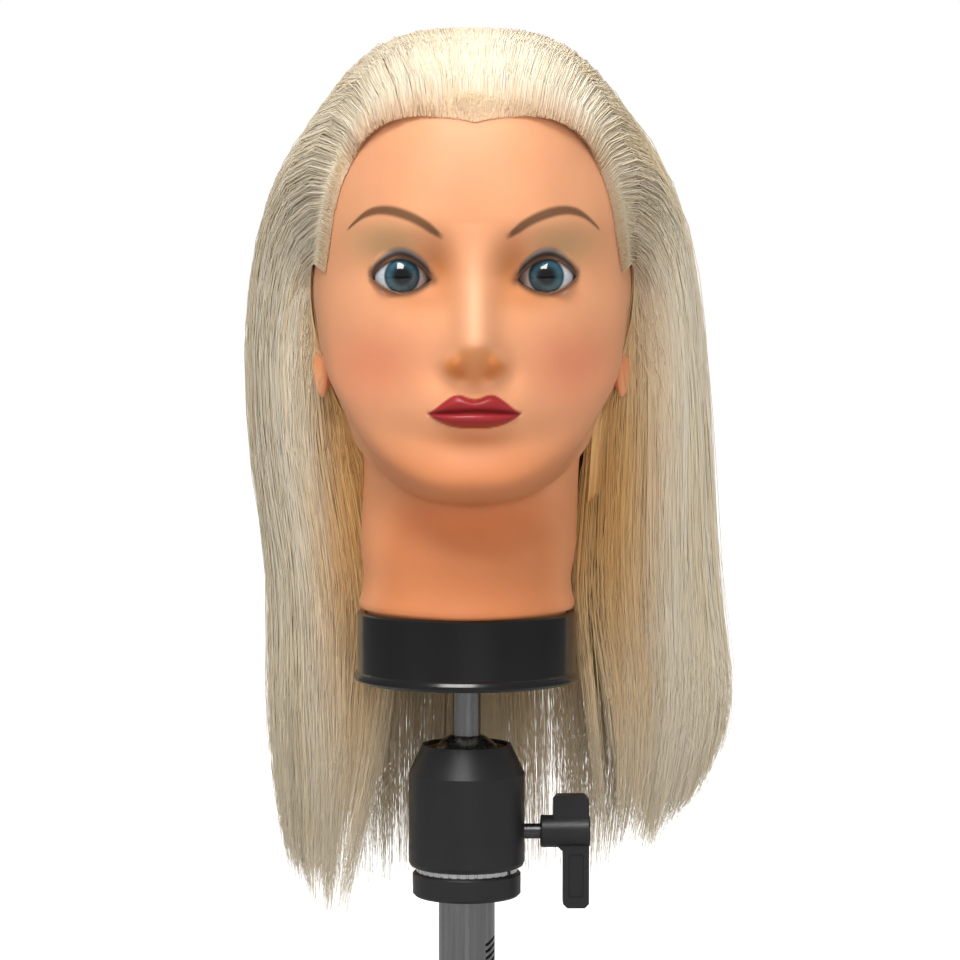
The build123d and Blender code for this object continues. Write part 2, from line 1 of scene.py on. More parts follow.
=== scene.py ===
import bmesh
import bpy
import json
import math
import numpy as np
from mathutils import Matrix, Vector
from mathutils.bvhtree import BVHTree


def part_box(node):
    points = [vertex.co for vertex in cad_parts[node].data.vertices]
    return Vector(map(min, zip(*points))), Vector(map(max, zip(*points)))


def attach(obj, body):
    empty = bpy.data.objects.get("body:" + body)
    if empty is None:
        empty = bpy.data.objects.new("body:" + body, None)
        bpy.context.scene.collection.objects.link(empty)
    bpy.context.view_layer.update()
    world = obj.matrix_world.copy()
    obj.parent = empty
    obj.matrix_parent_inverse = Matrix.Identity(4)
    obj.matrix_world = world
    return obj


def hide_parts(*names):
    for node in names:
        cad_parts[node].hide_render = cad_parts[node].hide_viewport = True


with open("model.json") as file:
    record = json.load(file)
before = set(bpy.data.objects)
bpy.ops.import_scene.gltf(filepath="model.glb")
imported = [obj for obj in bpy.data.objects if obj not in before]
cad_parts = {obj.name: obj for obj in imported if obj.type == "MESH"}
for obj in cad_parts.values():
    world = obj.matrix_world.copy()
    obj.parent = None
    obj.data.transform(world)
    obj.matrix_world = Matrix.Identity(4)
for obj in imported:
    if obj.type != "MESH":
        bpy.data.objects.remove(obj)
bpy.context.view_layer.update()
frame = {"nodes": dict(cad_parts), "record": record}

MM = 0.001
LEAN_X = 2.6


# ---------------------------------------------------------------- helpers
def spline(knots, values, at):
    """A natural cubic curve through values at knots, read at each place in at."""
    knots = np.asarray(knots, float)
    values = np.asarray(values, float)
    shape = values.shape[1:]
    flat = values.reshape(len(knots), -1)
    gap = np.diff(knots)
    rise = np.diff(flat, axis=0) / gap[:, None]
    matrix = np.eye(len(knots))
    right = np.zeros_like(flat)
    for i in range(1, len(knots) - 1):
        matrix[i, i - 1:i + 2] = gap[i - 1], 2 * (gap[i - 1] + gap[i]), gap[i]
        right[i] = 6 * (rise[i] - rise[i - 1])
    bend = np.linalg.solve(matrix, right)
    at = np.clip(np.asarray(at, float), knots[0], knots[-1])
    i = np.clip(np.searchsorted(knots, at, side="right") - 1, 0, len(gap) - 1)
    h = gap[i][:, None]
    a = ((knots[i + 1] - at) / gap[i])[:, None]
    b = 1 - a
    curved = (a ** 3 - a) * bend[i] + (b ** 3 - b) * bend[i + 1]
    out = a * flat[i] + b * flat[i + 1] + curved * h * h / 6
    return out.reshape((len(at),) + shape)


def smooth(low, high, value):
    """0 below low, 1 above high, eased between."""
    t = np.clip((value - low) / (high - low), 0, 1)
    return t * t * (3 - 2 * t)


def bump_at(x, z, cx, cz, sx, sz):
    """A soft round hill of height 1."""
    return np.exp(-((x - cx) / sx) ** 2 - ((z - cz) / sz) ** 2)


def make_piece(name, points, faces, material, smooth_faces=True):
    """A mesh object at the origin from points in millimetres."""
    mesh = bpy.data.meshes.new(name)
    mesh.from_pydata([tuple(p) for p in np.asarray(points) * MM], [], faces)
    if smooth_faces:
        mesh.polygons.foreach_set("use_smooth", [True] * len(mesh.polygons))
    mesh.materials.append(material)
    mesh.update()
    piece = bpy.data.objects.new(name, mesh)
    bpy.context.scene.collection.objects.link(piece)
    return piece


def lean(points):
    """The soft neck lets the head lean a little to +X."""
    out = np.array(points, float)
    out[..., 0] += LEAN_X * smooth(250, 335, out[..., 2]) * smooth(90, 110, out[..., 2])
    return out


def give_colours(piece, name, colours):
    """A colour for each point of a piece."""
    layer = piece.data.attributes.new(name, "FLOAT_COLOR", "POINT")
    rgba = np.ones((len(colours), 4))
    rgba[:, :colours.shape[1]] = colours
    layer.data.foreach_set("color", rgba.ravel())


def grid_faces(rows, columns):
    """Faces of a grid that closes on itself across its columns."""
    faces = []
    for r in range(rows - 1):
        for c in range(columns):
            d = (c + 1) % columns
            faces.append((r * columns + c, r * columns + d, (r + 1) * columns + d, (r + 1) * columns + c))
    return faces


# ---------------------------------------------------------------- materials
def new_material(name):
    material = bpy.data.materials.new(name)
    material.use_nodes = True
    tree = material.node_tree
    return material, tree, tree.nodes["Principled BSDF"]


def node(tree, kind, **settings):
    made = tree.nodes.new(kind)
    for key, value in settings.items():
        setattr(made, key, value)
    return made


def noise(tree, coords, scale, detail=3.0, stretch=None):
    """Noise on object coordinates, stretched along an axis if asked."""
    texture = node(tree, "ShaderNodeTexNoise")
    texture.inputs["Scale"].default_value = scale
    texture.inputs["Detail"].default_value = detail
    source = coords
    if stretch:
        mapping = node(tree, "ShaderNodeMapping")
        mapping.inputs["Scale"].default_value = stretch
        tree.links.new(coords, mapping.inputs["Vector"])
        source = mapping.outputs["Vector"]
    tree.links.new(source, texture.inputs["Vector"])
    return texture.outputs["Fac"]


def ramp(tree, fac, *stops):
    """A colour ramp from (place, colour) stops."""
    made = node(tree, "ShaderNodeValToRGB")
    elements = made.color_ramp.elements
    while len(elements) < len(stops):
        elements.new(0.5)
    for element, (place, colour) in zip(elements, stops):
        element.position = place
        element.color = (*colour, 1.0)
    tree.links.new(fac, made.inputs["Fac"])
    return made.outputs["Color"]


def grey(value):
    return (value, value, value)


def bump(tree, shader, height, strength, distance):
    made = node(tree, "ShaderNodeBump")
    made.inputs["Strength"].default_value = strength
    made.inputs["Distance"].default_value = distance
    tree.links.new(height, made.inputs["Height"])
    tree.links.new(made.outputs["Normal"], shader.inputs["Normal"])


def object_coords(tree):
    return node(tree, "ShaderNodeTexCoord").outputs["Object"]


def metal(name, low, high, rough, grain=400.0, stretch=(1, 1, 1), strength=0.05):
    """Turned or brushed metal: fine stretched grain in its colour, roughness and bump."""
    material, tree, shader = new_material(name)
    coords = object_coords(tree)
    fine = noise(tree, coords, grain, 4.0, stretch)
    tree.links.new(ramp(tree, fine, (0.3, low), (0.7, high)), shader.inputs["Base Color"])
    uneven = ramp(tree, fine, (0.2, grey(rough * 0.8)), (0.8, grey(rough * 1.2)))
    tree.links.new(uneven, shader.inputs["Roughness"])
    shader.inputs["Metallic"].default_value = 1.0
    bump(tree, shader, fine, strength, 0.0002)
    return material


def moulded(name, low, high, rough, grain=900.0, strength=0.08, coat=0.0, metallic=0.0):
    """Moulded plastic or paint: a fine pebble with slight changes of tone."""
    material, tree, shader = new_material(name)
    coords = object_coords(tree)
    broad = noise(tree, coords, 18.0, 3.0)
    fine = noise(tree, coords, grain, 2.0)
    tree.links.new(ramp(tree, broad, (0.3, low), (0.7, high)), shader.inputs["Base Color"])
    uneven = ramp(tree, fine, (0.2, grey(rough * 0.85)), (0.8, grey(rough * 1.15)))
    tree.links.new(uneven, shader.inputs["Roughness"])
    shader.inputs["Coat Weight"].default_value = coat
    shader.inputs["Coat Roughness"].default_value = 0.12
    shader.inputs["Metallic"].default_value = metallic
    bump(tree, shader, fine, strength, 0.0002)
    return material


def skin_vinyl():
    """Soft painted vinyl: paint comes from the points, with light passing a little way in."""
    material, tree, shader = new_material("skin_vinyl_paint")
    paint = node(tree, "ShaderNodeAttribute", attribute_name="paint")
    coords = object_coords(tree)
    mottle = noise(tree, coords, 60.0, 3.0)
    mix = node(tree, "ShaderNodeMix", data_type="RGBA", blend_type="MULTIPLY")
    mix.inputs["Factor"].default_value = 1.0
    tree.links.new(paint.outputs["Color"], mix.inputs["A"])
    tree.links.new(ramp(tree, mottle, (0.3, grey(0.955)), (0.7, grey(1.0))), mix.inputs["B"])
    tree.links.new(mix.outputs["Result"], shader.inputs["Base Color"])
    gloss = node(tree, "ShaderNodeAttribute", attribute_name="gloss")
    tree.links.new(gloss.outputs["Fac"], shader.inputs["Roughness"])
    shader.inputs["Subsurface Weight"].default_value = 0.25
    shader.inputs["Subsurface Radius"].default_value = (1.0, 0.45, 0.2)
    shader.inputs["Subsurface Scale"].default_value = 0.004
    shader.inputs["Specular IOR Level"].default_value = 0.4
    bump(tree, shader, noise(tree, coords, 1500.0, 2.0), 0.04, 0.0002)
    return material


def eye_gloss():
    material, tree, shader = new_material("eye_paint")
    paint = node(tree, "ShaderNodeAttribute", attribute_name="paint")
    coords = object_coords(tree)
    streaks = noise(tree, coords, 900.0, 4.0)
    mix = node(tree, "ShaderNodeMix", data_type="RGBA", blend_type="MULTIPLY")
    mix.inputs["Factor"].default_value = 0.6
    tree.links.new(paint.outputs["Color"], mix.inputs["A"])
    tree.links.new(ramp(tree, streaks, (0.3, grey(0.7)), (0.7, grey(1.0))), mix.inputs["B"])
    tree.links.new(mix.outputs["Result"], shader.inputs["Base Color"])
    tree.links.new(ramp(tree, streaks, (0.2, grey(0.10)), (0.8, grey(0.16))), shader.inputs["Roughness"])
    shader.inputs["Coat Weight"].default_value = 1.0
    shader.inputs["Coat Roughness"].default_value = 0.02
    return material


# ---------------------------------------------------------------- head form
AROUND = [0, 25, 50, 75, 100, 140, 180]
# Each row runs from the middle of the front round one side to the middle of the back, as (x, y, z).
HEAD_ROWS = [
    [(0, -43, 304), (20, -39, 306), (36, -25, 312), (47, -4, 322),
     (51, 16, 329), (37, 48, 338), (0, 61, 342)],
    [(0, -63, 305), (20, -57, 307), (38, -36, 315), (51, -8, 326),
     (55, 18, 334), (39, 53, 344), (0, 65, 348)],
    [(0, -76, 309), (20, -71, 311), (41, -47, 322), (54, -15, 337),
     (59, 17, 344), (43, 57, 353), (0, 70, 356)],
    [(0, -81, 316), (23, -76, 318), (47.5, -47, 331), (58.5, -15, 348),
     (63, 18, 353), (46, 61, 361), (0, 77, 364)],
    [(0, -79.5, 332), (25, -74, 333), (54, -46, 343), (62, -14, 357),
     (66, 19, 362), (49, 66, 370), (0, 84, 373)],
    [(0, -83, 347), (27, -76, 347), (59, -44, 354), (67, -12, 367),
     (70, 20, 372), (52, 70, 380), (0, 90, 383)],
    [(0, -84, 362), (28, -77, 363), (61, -43, 367), (69, -12, 379),
     (72, 21, 384), (54, 75, 392), (0, 95, 395)],
    [(0, -84.5, 385), (29, -78, 385), (62, -43, 388), (71, -11, 395),
     (74, 22, 399), (56, 79, 405), (0, 99, 408)],
    [(0, -85, 406), (29, -78.5, 406), (61.5, -43, 407), (71, -10, 411),
     (74, 22, 414), (57, 81, 419), (0, 101, 421)],
    [(0, -89, 428), (29, -83, 428), (60.5, -46, 429), (71, -11, 431),
     (74, 22, 433), (57, 81, 435), (0, 101, 436)],
    [(0, -87, 455), (29, -79, 455), (57, -45, 455), (69, -11, 455),
     (72, 21, 455), (56, 78, 455), (0, 97, 455)],
    [(0, -76, 479), (26, -69, 479), (50, -40, 479), (61, -9, 479),
     (64, 20, 479), (50, 70, 479), (0, 87, 479)],
    [(0, -53, 497), (20, -47, 497), (37, -27, 497), (46, -5, 497),
     (48, 18, 497), (37, 55, 497), (0, 68, 497)],
    [(0, -22, 507), (10, -19, 507), (19, -9, 507), (23, 3, 507),
     (24, 15, 507), (18, 33, 507), (0, 40, 507)],
]
NECK_R = 48.8
PLUG_R = 46.8
# Height over the collar's top, radius and y of the rows from inside the collar up the neck.
NECK_RISE = [(-6, PLUG_R, 0), (-0.3, PLUG_R, 0), (0.4, NECK_R, 0), (6, NECK_R, 0.3), (28, NECK_R + 0.6, 3)]


def neck_rows():
    """Round rows from inside the collar up the neck."""
    rows = []
    collar_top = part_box("neck_collar")[1][2] / MM
    for rise, r, y in NECK_RISE:
        z = collar_top + rise
        turn = np.radians(AROUND)
        rows.append([(r * math.sin(t), y - r * math.cos(t), z + 2 * math.sin(t / 2)) for t in turn])
    return rows


def full_ring(half):
    """A half row mirrored into a whole ring, with enough repeats for a smooth join."""
    half = np.asarray(half, float)
    mirrored = half[-2:0:-1] * (-1, 1, 1)
    ring = np.concatenate([half, mirrored])
    knots = np.concatenate([AROUND, 360 - np.array(AROUND[-2:0:-1])])
    extra = 4
    knots = np.concatenate([knots[-extra:] - 360, knots, knots[:extra] + 360])
    return knots, np.concatenate([ring[-extra:], ring, ring[:extra]])


def head_surface(columns, rows_at=None, row_count=None):
    """The plain head as a grid of points, without features."""
    rings = []
    for half in neck_rows() + HEAD_ROWS:
        knots, ring = full_ring(half)
        rings.append(spline(knots, ring, columns))
    rings.append(np.tile([[0, 8, 510]], (len(columns), 1)))
    rings = np.array(rings)
    step = np.linalg.norm(np.diff(rings, axis=0), axis=2).mean(axis=1)
    along = np.concatenate([[0], np.cumsum(step)])
    at = rows_at(along) if rows_at else np.linspace(0, along[-1], row_count)
    return spline(along, rings, at)


def column_places(front, back, half_front=52.0):
    """Turns about the head, closer together over the face."""
    ahead = np.linspace(-half_front, half_front, front, endpoint=False)
    behind = np.linspace(half_front, 360 - half_front, back, endpoint=False)
    return np.mod(np.concatenate([ahead, behind]), 360)


def row_places(along):
    """Places up the head, closer together from the lips to the brows."""
    first, lips, brows, last = 0, along[9], along[14] + 14, along[-1]
    below = np.linspace(first, lips, 62, endpoint=False)
    face = np.linspace(lips, brows, 150, endpoint=False)
    return np.concatenate([below, face, np.linspace(brows, last, 56)])


# ---------------------------------------------------------------- face features
EYE_X = 31.4
EYE_Z = 405.5
EYE_Y = -62.8
EYE_R = 12.5
IRIS_R = 7.7
PUPIL_R = 2.9
EYE_CORNER_X = 18.9
EYE_CORNER_Z = 403.6
EYE_LENGTH = 25.6
LIP_HALF = 20.4
# The ridge of the nose as (z, height), its half width as (z, width), and the upper lip's edge as (share, z).
NOSE_RIDGE = [(354.5, 0), (357, 1.2), (360, 4.0), (364, 8.8), (368, 13.6), (372, 17.6), (376, 19.8),
              (379, 19.4), (384, 16.9), (390, 13.8), (396, 10.8), (404, 7.0), (412, 4.2), (420, 1.8),
              (428, 0)]
NOSE_WIDTH = [(356, 8.5), (362, 10.0), (368, 10.8), (376, 10.6), (390, 9.2), (405, 8.4), (420, 9.6)]
LIP_UPPER = [(0, 352.4), (0.12, 352.9), (0.33, 354.3), (0.6, 352.0), (0.85, 348.0), (1.0, 345.8)]


def nose_height(z):
    """How far the ridge of the nose stands out of the face at each height."""
    places, heights = zip(*NOSE_RIDGE)
    return spline(places, heights, z.ravel()).reshape(z.shape)


def nose_width(z):
    places, widths = zip(*NOSE_WIDTH)
    return np.interp(z, places, widths)


def lip_lines(x):
    """Upper edge, parting and lower edge of the lips across the mouth."""
    t = np.clip(np.abs(x) / LIP_HALF, 0, 1)
    shares, edges = zip(*LIP_UPPER)
    upper = spline(shares, edges, t.ravel()).reshape(t.shape)
    part = 347.0 - 0.4 * np.sin(np.pi * t) - 1.2 * t ** 3
    lower = 339.4 + 6.4 * t ** 2.8
    return upper, part, lower


def eye_lines(x):
    """Along-share, upper edge and lower edge of an eye's opening, for x counted outwards."""
    s = (x - EYE_CORNER_X) / EYE_LENGTH
    c = np.clip(s, 0, 1)
    corner = EYE_CORNER_Z + 1.2 * c
    arch = np.sin(np.pi * c)
    return s, corner + 8.4 * arch ** 0.8, corner - 5.7 * arch ** 0.85


def eye_inside(x, z):
    """Signed distance in millimetres, positive inside the eye's opening (roughly, near its edge)."""
    s, upper, lower = eye_lines(x)
    inside = np.minimum(upper - z, z - lower)
    ends = np.minimum(s, 1 - s) * EYE_LENGTH
    return np.where((s > 0) & (s < 1), np.minimum(inside * 0.9, ends), -1.0)


def forward(x, z):
    """How far features push the front of the face forward, in millimetres."""
    ax = np.abs(x)
    push = nose_height(z) * np.exp(-np.abs(x / nose_width(z)) ** 2.2)
    push += 4.2 * bump_at(ax, z, 9.4, 366.4, 4.8, 5.6) * (1 - np.exp(-np.abs(x / 6.0) ** 4))
    push -= 2.4 * bump_at(ax, z, 5.6, 361.8, 2.8, 2.2)
    push -= 1.2 * bump_at(ax, z, 16.0, 363.0, 4.5, 7.0)
    push += 3.0 * bump_at(x, z, 0, 348.0, 26.0, 15.0)
    push -= 0.9 * bump_at(x, z, 0, 355.0, 3.0, 3.4)
    push -= 1.6 * bump_at(x, z, 0, 333.5, 18.0, 5.0)
    push += 2.0 * bump_at(x, z, 0, 318.0, 15.0, 9.0)
    push -= 5.8 * bump_at(ax, z, EYE_X, EYE_Z + 2.5, 17.0, 11.0)
    push -= 4.6 * bump_at(ax, z, 17.0, EYE_Z + 4.0, 7.0, 11.0)
    push += 1.6 * bump_at(ax, z, 34.0, 428.0, 20.0, 7.0)
    push += 2.2 * bump_at(ax, z, 38.0, 378.0, 17.0, 15.0)
    return push


def lips_forward(x, z):
    upper, part, lower = lip_lines(x)
    t = np.clip(np.abs(x) / LIP_HALF, 0, 1)
    width = np.clip(1 - t ** 2, 0, 1) ** 0.7
    up = np.clip((z - part) / np.maximum(upper - part, 0.1), 0, 1)
    down = np.clip((part - z) / np.maximum(part - lower, 0.1), 0, 1)
    push = 3.4 * width * np.sin(np.pi * np.clip(up, 0, 1)) ** 0.75 * (0.75 + 0.25 * (1 - up))
    push += 4.4 * width * np.sin(np.pi * np.clip(down, 0, 1)) ** 0.7
    push -= 1.2 * (t < 1) * np.exp(-((z - part) / 0.7) ** 2)
    return push * (t < 1)


def face_points(points):
    """Add nose, lips, sockets and lids to the plain head."""
    x, y, z = points[..., 0], points[..., 1].copy(), points[..., 2]
    front = smooth(0.0, 1.0, (-y - 22.0) / 16.0) * smooth(302, 309, z)
    y -= front * (forward(x, z) + lips_forward(x, z))
    ax = np.abs(x)
    reach = (ax - EYE_X) ** 2 + (z - EYE_Z) ** 2
    lid_r = EYE_R + 1.5
    lid = EYE_Y - np.sqrt(np.clip(lid_r ** 2 - reach, 0, None))
    s, _, lower = eye_lines(ax)
    lid += 6.0 * smooth(0.3, 4.5, lower - z) + 5.0 * smooth(0.0, 0.14, np.maximum(s - 1, -s))
    blend = 3.4
    gap = np.clip(0.5 + 0.5 * (lid - y) / blend, 0, 1)
    lidded = y * gap + lid * (1 - gap) - blend * gap * (1 - gap)
    y = np.where((reach < lid_r ** 2) & (front > 0.5), lidded, y)
    inside = eye_inside(ax, z)
    y += 9.0 * smooth(-0.35, 0.9, inside) * (front > 0.5)
    crease = np.abs(z - (eye_lines(ax)[1] + 3.4)) / 0.9
    shown = (ax > 20) & (ax < 45) & (front > 0.5)
    y += 0.8 * np.exp(-crease ** 2) * shown
    out = points.copy()
    out[..., 1] = y
    return out


# ---------------------------------------------------------------- face paint
SKIN = np.array([0.84, 0.385, 0.195])
PLAIN_GLOSS = 0.44
BROW_LINE = [(14.5, 422.6), (22.5, 428.2), (31, 432.2), (40, 434.0), (48.5, 431.8), (55.5, 426.0)]


def lay(paint, colour, amount):
    return paint * (1 - amount[..., None]) + np.array(colour) * amount[..., None]


def brow_amount(x, z):
    line = np.array(BROW_LINE)
    centre = spline(line[:, 0], line[:, 1], np.clip(x, line[0, 0], line[-1, 0]).ravel()).reshape(x.shape)
    share = np.clip((x - line[0, 0]) / (line[-1, 0] - line[0, 0]), 0, 1)
    half = np.interp(share, [0, 0.12, 0.45, 0.75, 1.0], [1.3, 2.3, 2.3, 1.8, 0.5])
    first, last = line[0, 0], line[-1, 0]
    ends = smooth(first - 2.0, first + 2.0, x) * (1 - smooth(last - 1.0, last + 0.8, x))
    return (1 - smooth(0.55, 1.35, np.abs(z - centre) / half)) * ends


def face_paint(points):
    x, y, z = points[..., 0], points[..., 1], points[..., 2]
    ax = np.abs(x)
    front = smooth(20.0, 36.0, -y)
    paint = np.ones(points.shape) * SKIN
    # A deeper skin tone on the neck, darkened below the jaw as painted shade under the chin.
    paint = lay(paint, (0.78, 0.29, 0.115), 0.6 * (1 - smooth(296, 335, z)))
    # Painted shade over the chin and lower face, darker downwards as the light from above falls off.
    paint = lay(paint, (0.66, 0.225, 0.082), 0.78 * (1 - smooth(312, 352, z)) * front)
    paint = lay(paint, (0.80, 0.22, 0.12), 0.50 * bump_at(ax, z, 44, 366, 19, 17) * front)
    # Painted shade in the eye sockets: beside the nose at the inner corners, and under the eyes.
    paint = lay(paint, (0.56, 0.19, 0.05), 0.75 * bump_at(ax, z, 16, 408, 8, 12) * front)
    paint = lay(paint, (0.58, 0.21, 0.06), 0.60 * bump_at(ax, z, 24, 396, 14, 6) * front)
    paint = lay(paint, (0.50, 0.34, 0.16), 0.62 * bump_at(ax, z, 40, 420, 15, 9) * front)
    # Painted shade on the underside of the nose, an arch from the tip down to its base.
    arch = (x / 13.0) ** 2
    nose_underside_shade = smooth(-0.5, 3.5, 377 - 8.2 * arch - z) * smooth(-2.0, 2.0, z - 359.6 - 3.6 * arch)
    nose_underside_shade *= 1 - smooth(10.5, 15, ax)
    paint = lay(paint, (0.80, 0.285, 0.08), 0.72 * nose_underside_shade * front)
    # Painted shade at the nostrils beside the wings of the nose.
    paint = lay(paint, (0.66, 0.18, 0.03), 0.60 * bump_at(ax, z, 8.5, 366, 5.0, 3.6) * front)
    # Painted shade in the crease under the lower lip.
    paint = lay(paint, (0.58, 0.19, 0.06), 0.50 * bump_at(x, z, 0, 334.5, 15, 3.6) * front)
    # Painted highlight down the ridge of the nose.
    paint = lay(paint, (0.95, 0.64, 0.42), 0.30 * bump_at(x, z, 0, 392, 5.0, 20) * front)
    paint = lay(paint, (0.105, 0.045, 0.018), 0.86 * brow_amount(ax, z) * front)
    s, upper, lower = eye_lines(ax)
    across = smooth(-0.10, 0.06, s) * (1 - smooth(0.97, 1.12, s))
    over = z - upper
    under = lower - z
    lid = (1 - smooth(3.4, 6.4, over)) * (z > lower)
    paint = lay(paint, (0.12, 0.055, 0.026), 0.92 * across * lid * front)
    paint = lay(paint, (0.020, 0.013, 0.012), 0.95 * across * np.exp(-((over - 2.3) / 1.25) ** 2) * front)
    # Painted highlight: a grey sheen along the dark liner over the upper lid.
    paint = lay(paint, (0.36, 0.37, 0.38), 0.75 * across * bump_at(ax, over, 30, 4.3, 10, 0.75) * front)
    paint = lay(paint, (0.10, 0.045, 0.022), 0.9 * across * np.exp(-((under - 0.5) / 1.7) ** 2) * front)
    corner = np.hypot((ax - 17.6) / 1.8, (z - EYE_CORNER_Z) / 2.2)
    paint = lay(paint, (0.12, 0.05, 0.025), 0.7 * np.exp(-corner ** 2) * front)
    lip_upper, part, lip_lower = lip_lines(x)
    inside = np.minimum(lip_upper - z, z - lip_lower)
    lips = smooth(-0.35, 0.45, inside) * (1 - smooth(0.97, 1.03, ax / LIP_HALF)) * front
    paint = lay(paint, (0.36, 0.024, 0.027), lips)
    # Painted shade in the parting between the lips.
    paint = lay(paint, (0.16, 0.008, 0.010), 0.75 * np.exp(-((z - part) / 0.8) ** 2) * lips)
    near_eye = across * (1 - smooth(5, 7, over)) * (under < 1) * front
    rough = 0.52 + 0.14 * bump_at(x, z, 0, 382, 16, 28) - 0.20 * lips - 0.10 * near_eye
    return paint, rough


FACE_COLUMNS = 212
BACK_COLUMNS = 108
FOAM_DEPTH = 9.0


def make_head():
    columns = column_places(FACE_COLUMNS, BACK_COLUMNS)
    plain = head_surface(columns, rows_at=row_places)
    points = face_points(plain)
    paint, rough = face_paint(points)
    rows, across = points.shape[:2]
    flat = points.reshape(-1, 3)
    colours = paint.reshape(-1, 3)
    gloss = rough.ravel()
    keep = (rows - 1) * across
    flat = np.concatenate([flat[:keep], flat[keep:keep + 1], [[0, 0, flat[0, 2]]]])
    colours = np.concatenate([colours[:keep], colours[keep:keep + 1], [SKIN]])
    gloss = np.concatenate([gloss[:keep], gloss[keep:keep + 1], [PLAIN_GLOSS]])
    faces = grid_faces(rows - 1, across)
    last = (rows - 2) * across
    faces += [(last + c, last + (c + 1) % across, keep) for c in range(across)]
    faces += [((c + 1) % across, c, keep + 1) for c in range(across)]
    head = make_piece("vinyl_head", lean(flat), faces, skin_vinyl())
    give_colours(head, "paint", colours)
    layer = head.data.attributes.new("gloss", "FLOAT", "POINT")
    layer.data.foreach_set("value", gloss)
    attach(head, "head")
    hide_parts("head_skin")
    return head


def make_core():
    """The foam inside the skin, the head's own form drawn in."""
    columns = column_places(40, 40, 90.0)
    points = head_surface(columns, row_count=60)
    middle = np.array([0, 5, 400.0])
    low = points[0, 0, 2]
    inward = points - middle
    inward[..., 2] *= smooth(300, 420, points[..., 2])
    length = np.maximum(np.linalg.norm(inward, axis=2, keepdims=True), 1.0)
    points = points - inward / length * FOAM_DEPTH
    points[..., 1] += FOAM_DEPTH * smooth(30, 55, -points[..., 1])
    points[..., 2] = np.maximum(points[..., 2], low + 1)
    rows, across = points.shape[:2]
    flat = np.concatenate([points.reshape(-1, 3), [points[-1].mean(axis=0), points[0].mean(axis=0)]])
    faces = grid_faces(rows, across)
    last = (rows - 1) * across
    top = rows * across
    faces += [(last + c, last + (c + 1) % across, top) for c in range(across)]
    faces += [((c + 1) % across, c, top + 1) for c in range(across)]
    foam = moulded("foam", (0.62, 0.50, 0.30), (0.72, 0.60, 0.38), 0.8, 300.0, 0.5)
    core = make_piece("foam_filling", lean(flat), faces, foam)
    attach(core, "head")
    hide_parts("foam_core")


# ---------------------------------------------------------------- eyes
def make_eye(side, name, material):
    """A glossy eye with a raised clear front, painted in rings about its gaze."""
    rings, spokes = 72, 96
    turn = np.linspace(0, math.pi, rings)
    spin = np.linspace(0, 2 * math.pi, spokes, endpoint=False)
    away, about = np.meshgrid(turn, spin, indexing="ij")
    iris = math.asin(IRIS_R / EYE_R)
    pupil = math.asin(PUPIL_R / EYE_R)
    r = EYE_R + 0.7 * (1 - smooth(iris * 0.2, iris * 1.1, away))
    ray = np.stack([np.sin(away) * np.cos(about), -np.cos(away), np.sin(away) * np.sin(about)], axis=2)
    points = ray * r[..., None]
    height = ray[..., 2] * EYE_R
    white = np.ones(ray.shape) * np.array([0.62, 0.64, 0.68])
    inner = smooth(2.0, 9.0, -ray[..., 0] * EYE_R * side)
    white = lay(white, (0.74, 0.50, 0.42), inner * 0.75)
    # Painted shade under the upper lid: the white darker towards the top.
    white = lay(white, (0.25, 0.20, 0.20), 0.55 * smooth(1.0, 7.0, height) * (np.abs(ray[..., 0]) > 0.2))
    blue = np.ones(ray.shape) * np.array([0.020, 0.078, 0.115])
    # Painted light: the lower iris lighter and greyer, the upper iris left darker in the lid's shade.
    blue = lay(blue, (0.085, 0.115, 0.105), smooth(2.0, -7.0, height) * 0.8)
    fibres = 0.5 + 0.5 * np.sin(about * 41 + 2.5 * np.sin(about * 7)) * np.sin(about * 29 + 1.0)
    blue = lay(blue, (0.06, 0.16, 0.20), 0.35 * fibres * smooth(pupil, iris * 0.7, away))
    blue = lay(blue, (0.012, 0.035, 0.055), smooth(iris * 0.78, iris * 0.98, away))
    blue = lay(blue, (0.008, 0.012, 0.016), 1 - smooth(pupil, pupil * 1.9, away))
    edge = 1 - smooth(iris * 0.97, iris * 1.05, away)
    paint = white * (1 - edge[..., None]) + blue * edge[..., None]
    paint = lay(paint, (0.002, 0.002, 0.003), 1 - smooth(pupil * 0.92, pupil * 1.06, away))
    centre = np.array([side * EYE_X, EYE_Y, EYE_Z])
    inner_rows = points[1:-1].reshape(-1, 3) + centre
    colours = paint[1:-1].reshape(-1, 3)
    count = len(inner_rows)
    flat = np.concatenate([inner_rows, [points[0, 0] + centre, points[-1, 0] + centre]])
    colours = np.concatenate([colours, [paint[0, 0], paint[-1, 0]]])
    faces = [tuple(reversed(f)) for f in grid_faces(rings - 2, spokes)]
    last = (rings - 3) * spokes
    faces += [(c, (c + 1) % spokes, count) for c in range(spokes)]
    faces += [(last + (c + 1) % spokes, last + c, count + 1) for c in range(spokes)]
    eye = make_piece(name + "_ball", flat + (LEAN_X, 0, 0), faces, material)
    give_colours(eye, "paint", colours)
    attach(eye, "head")
    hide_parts(name)


def outward(piece):
    """Turn every face of a closed piece outwards."""
    work = bmesh.new()
    work.from_mesh(piece.data)
    bmesh.ops.recalc_face_normals(work, faces=work.faces)
    work.to_mesh(piece.data)
    work.free()


# ---------------------------------------------------------------- ears
EAR_X = 68.5
EAR_Y = 9.0
EAR_Z = 375.0
EAR_HALF = 25.0


